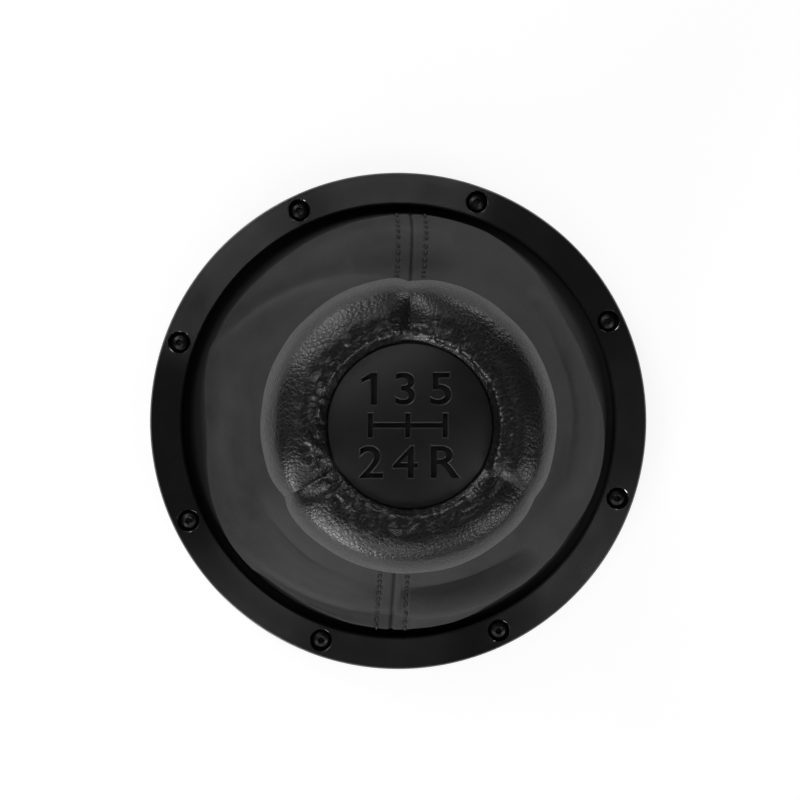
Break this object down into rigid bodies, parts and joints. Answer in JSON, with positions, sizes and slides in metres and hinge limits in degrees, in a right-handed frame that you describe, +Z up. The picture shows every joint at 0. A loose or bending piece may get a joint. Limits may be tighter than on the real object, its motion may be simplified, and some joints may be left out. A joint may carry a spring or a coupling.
{
  "type": "gear lever gaiter",
  "caption": "Round trim ring with a clamped leather gaiter that rises to a neck, strapped under a leather wrapped gear knob with a recessed cap.",
  "frame": {"origin": "centre of the trim ring's underside, where it sits on the console", "axes": "+Z up the gear lever, +Y forwards in the car, +X to the right"},
  "size_m": [0.13, 0.13, 0.1196],
  "materials": {
    "anodised_black": "turned and black anodised, with fine concentric tool lines",
    "plain_alloy": "as turned",
    "black_steel": "black oxide, satin",
    "gaiter_leather": "smooth, soft, low sheen",
    "knob_leather": "pebbled grain, low sheen",
    "satin_plastic": "fine satin",
    "moulded_plastic": "as moulded",
    "brass": "as turned"
  },
  "bodies": {
    "root": {"bezel_ring": "anodised_black", "clamp_ring": "plain_alloy", "bezel_screw_1": "black_steel", "bezel_screw_2": "black_steel", "bezel_screw_3": "black_steel", "bezel_screw_4": "black_steel", "bezel_screw_5": "black_steel", "bezel_screw_6": "black_steel", "bezel_screw_7": "black_steel", "bezel_screw_8": "black_steel", "gaiter_left_panel": "gaiter_leather", "gaiter_right_panel": "gaiter_leather", "gaiter_collar": "moulded_plastic", "gaiter_strap": "moulded_plastic", "knob_cover_panel_1": "knob_leather", "knob_cover_panel_2": "knob_leather", "knob_cover_panel_3": "knob_leather", "knob_core": "moulded_plastic", "knob_trim_ring": "satin_plastic", "knob_bush": "brass", "knob_cap": "satin_plastic"}
  },
  "joints": []
}
